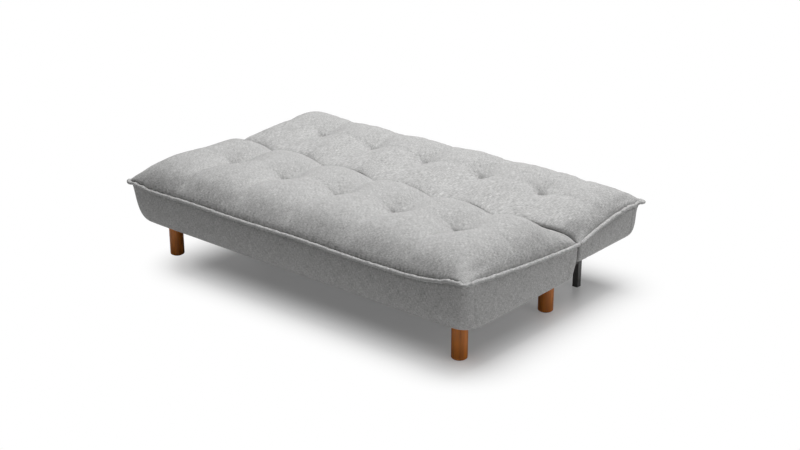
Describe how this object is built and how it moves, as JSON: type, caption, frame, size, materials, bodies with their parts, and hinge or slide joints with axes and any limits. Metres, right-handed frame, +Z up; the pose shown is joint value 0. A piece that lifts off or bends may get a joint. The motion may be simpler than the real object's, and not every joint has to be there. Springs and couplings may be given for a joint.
{
  "type": "futon sofa bed",
  "caption": "Tufted click-clack futon laid flat as a bed: padded seat on round wooden legs, with a back that folds up on ratchet hinges.",
  "frame": {"origin": "on the floor under the middle of the flat bed", "axes": "+X across the bed to the right as seen from the front, +Y from the front of the seat to the back, +Z up"},
  "size_m": [1.85, 1.1932, 0.46],
  "materials": {
    "upholstery": "light grey woven melange",
    "piping": "light grey woven melange, folded on the seam",
    "foam": "open-cell foam",
    "dust_cloth": "black spun-bonded cloth",
    "leg_wood": "stained and satin lacquered",
    "frame_wood": "sawn pine",
    "black_steel": "satin black powder coat",
    "hinge_steel": "black oxide",
    "zinc_steel": "zinc plated",
    "black_plastic": "moulded"
  },
  "bodies": {
    "seat": {"hinge_bolts_seat": "zinc_steel", "hinge_pin_left": "zinc_steel", "hinge_pin_right": "zinc_steel", "hinge_seat_plate_left": "hinge_steel", "hinge_seat_plate_right": "hinge_steel", "leg_bolts": "zinc_steel", "leg_front_left": "leg_wood", "leg_front_right": "leg_wood", "leg_glides": "black_plastic", "leg_rear_left": "leg_wood", "leg_rear_right": "leg_wood", "pawl_pin_left": "zinc_steel", "pawl_pin_right": "zinc_steel", "pawl_spring_left": "hinge_steel", "pawl_spring_right": "hinge_steel", "rear_support_left": "black_steel", "rear_support_right": "black_steel", "seat_centre_stretcher": "frame_wood", "seat_cushion": "upholstery", "seat_dust_cover": "dust_cloth", "seat_foam": "foam", "seat_front_rail": "frame_wood", "seat_leg_blocks": "frame_wood", "seat_piping": "piping", "seat_rear_rail": "frame_wood", "seat_side_rail_left": "frame_wood", "seat_side_rail_right": "frame_wood", "seat_skirt_fold": "upholstery", "seat_skirt_front": "upholstery", "seat_skirt_left": "upholstery", "seat_skirt_right": "upholstery", "seat_slats": "frame_wood", "seat_stretcher_left": "frame_wood", "seat_stretcher_right": "frame_wood", "support_bolts": "zinc_steel", "tube_plugs": "black_plastic"},
    "back": {"back_centre_brace": "frame_wood", "back_cushion": "upholstery", "back_dust_cover": "dust_cloth", "back_foam": "foam", "back_front_rail": "frame_wood", "back_piping": "piping", "back_rear_rail": "frame_wood", "back_side_rail_left": "frame_wood", "back_side_rail_right": "frame_wood", "back_skirt_fold": "upholstery", "back_skirt_left": "upholstery", "back_skirt_rear": "upholstery", "back_skirt_right": "upholstery", "back_slats": "frame_wood", "hinge_back_plate_left": "hinge_steel", "hinge_back_plate_right": "hinge_steel", "hinge_bolts_back": "zinc_steel"},
    "pawl_left": {"pawl_left": "hinge_steel"},
    "pawl_right": {"pawl_right": "hinge_steel"}
  },
  "joints": [
    {"name": "back_recline", "type": "hinge", "parent": "seat", "child": "back", "pos_m": [0, 0.1425, 0.304], "axis": [1, 0, 0], "range_deg": [0, 86]},
    {"name": "pawl_left_swing", "type": "hinge", "parent": "seat", "child": "pawl_left", "pos_m": [-0.8685, 0.08356, 0.29827], "axis": [1, 0, 0], "range_deg": [0, 10]},
    {"name": "pawl_right_swing", "type": "hinge", "parent": "seat", "child": "pawl_right", "pos_m": [0.8685, 0.08356, 0.29827], "axis": [1, 0, 0], "range_deg": [0, 10]}
  ]
}
